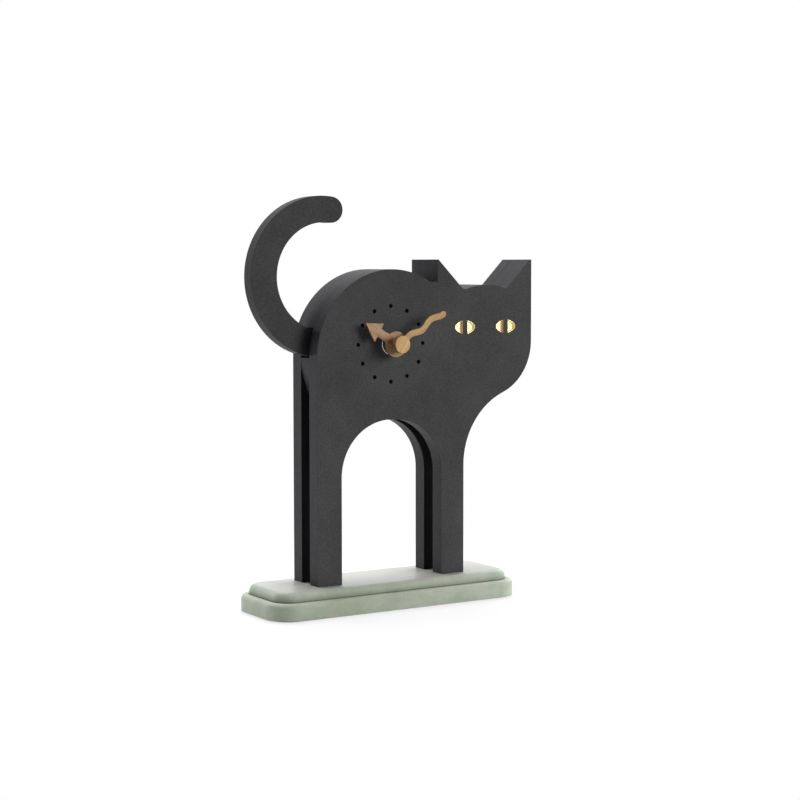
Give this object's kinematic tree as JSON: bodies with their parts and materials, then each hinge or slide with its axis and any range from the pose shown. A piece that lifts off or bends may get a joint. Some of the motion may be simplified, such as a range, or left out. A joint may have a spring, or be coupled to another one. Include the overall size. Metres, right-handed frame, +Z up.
{
  "type": "standing cat clock",
  "caption": "Standing clock cut from stacked boards as a cat in profile, with a separate board tail, wooden hands, brass eyes and a stepped base.",
  "frame": {"origin": "middle of the felt face that the clock stands on", "axes": "+X to the right of the dial (towards the cat's head), +Y towards the back, +Z up"},
  "size_m": [0.1752, 0.0532, 0.2254],
  "materials": {
    "felt": "short-pile felt",
    "slab_green": "mottled sage green lacquer on fibreboard",
    "screw_steel": "zinc-plated steel",
    "board_black": "black stained fibreboard, matt",
    "dowel_wood": "plain beech",
    "white_plastic": "moulded acetal",
    "eye_brass": "polished",
    "gasket_rubber": "matt",
    "nickel": "bright nickel plate",
    "hand_wood": "light hardwood, satin",
    "black_plastic": "fine grained",
    "magnet_grey": "ground magnet with plastic pinion",
    "soft_iron": "stamped sheet",
    "copper_wire": "enamelled copper winding",
    "board_green": "solder mask",
    "battery_foil": "plain foil sleeve"
  },
  "bodies": {
    "clock": {"base_felt": "felt", "base_lower_slab": "slab_green", "base_upper_slab": "slab_green", "leg_screws": "screw_steel", "front_board": "board_black", "core_board": "board_black", "back_board": "board_black", "board_dowels": "dowel_wood", "tail_pin": "screw_steel", "tail_washers": "white_plastic", "left_eye_outer_brass": "eye_brass", "left_eye_inner_brass": "eye_brass", "right_eye_inner_brass": "eye_brass", "right_eye_outer_brass": "eye_brass", "dial_gasket": "gasket_rubber", "dial_washer": "nickel", "dial_nut": "nickel", "movement_cover": "black_plastic", "movement_case": "black_plastic", "middle_plate": "white_plastic", "train_bridge": "white_plastic", "stator": "soft_iron", "coil_core": "soft_iron", "coil": "copper_wire", "circuit_board": "board_green", "quartz_crystal": "nickel", "battery": "battery_foil", "positive_contact": "nickel", "negative_contact": "nickel"},
    "tail": {"tail": "board_black"},
    "minute": {"centre_wheel": "white_plastic", "minute_hand": "hand_wood", "hand_cap": "hand_wood"},
    "hour": {"hour_wheel": "white_plastic", "hour_hand": "hand_wood"},
    "motion": {"motion_wheel": "white_plastic"},
    "third": {"third_wheel": "white_plastic"},
    "second": {"second_wheel": "white_plastic"},
    "step": {"step_wheel": "white_plastic"},
    "rotor": {"rotor": "magnet_grey"},
    "knob": {"setting_knob": "white_plastic"}
  },
  "joints": [
    {"name": "tail_swing", "type": "hinge", "parent": "clock", "child": "tail", "pos_m": [-0.03969, 0, 0.1457], "axis": [0, 1, 0], "range_deg": [-3, 3]},
    {"name": "minute_spin", "type": "hinge", "parent": "clock", "child": "minute", "pos_m": [-0.0009, 0, 0.1452], "axis": [0, 1, 0], "continuous": true},
    {"name": "hour_spin", "type": "hinge", "parent": "clock", "child": "hour", "pos_m": [-0.0009, 0, 0.1452], "axis": [0, 1, 0], "continuous": true},
    {"name": "motion_spin", "type": "hinge", "parent": "clock", "child": "motion", "pos_m": [0.00758, 0, 0.15368], "axis": [0, 1, 0], "continuous": true},
    {"name": "third_spin", "type": "hinge", "parent": "clock", "child": "third", "pos_m": [-0.00859, 0, 0.15289], "axis": [0, 1, 0], "continuous": true},
    {"name": "second_spin", "type": "hinge", "parent": "clock", "child": "second", "pos_m": [-0.0009, 0, 0.1452], "axis": [0, 1, 0], "continuous": true},
    {"name": "step_spin", "type": "hinge", "parent": "clock", "child": "step", "pos_m": [0.00546, 0, 0.15156], "axis": [0, 1, 0], "continuous": true},
    {"name": "rotor_spin", "type": "hinge", "parent": "clock", "child": "rotor", "pos_m": [0.00668, 0, 0.15846], "axis": [0, 1, 0], "continuous": true},
    {"name": "knob_spin", "type": "hinge", "parent": "clock", "child": "knob", "pos_m": [0.01886, 0, 0.14958], "axis": [0, 1, 0], "continuous": true}
  ],
  "couplings": [
    {"joint": "motion_spin", "follows": "minute_spin", "ratio": -0.33333},
    {"joint": "hour_spin", "follows": "minute_spin", "ratio": 0.083333},
    {"joint": "third_spin", "follows": "minute_spin", "ratio": -7.5},
    {"joint": "second_spin", "follows": "minute_spin", "ratio": 60},
    {"joint": "step_spin", "follows": "minute_spin", "ratio": -300},
    {"joint": "rotor_spin", "follows": "minute_spin", "ratio": 1800},
    {"joint": "knob_spin", "follows": "minute_spin", "ratio": 1}
  ]
}
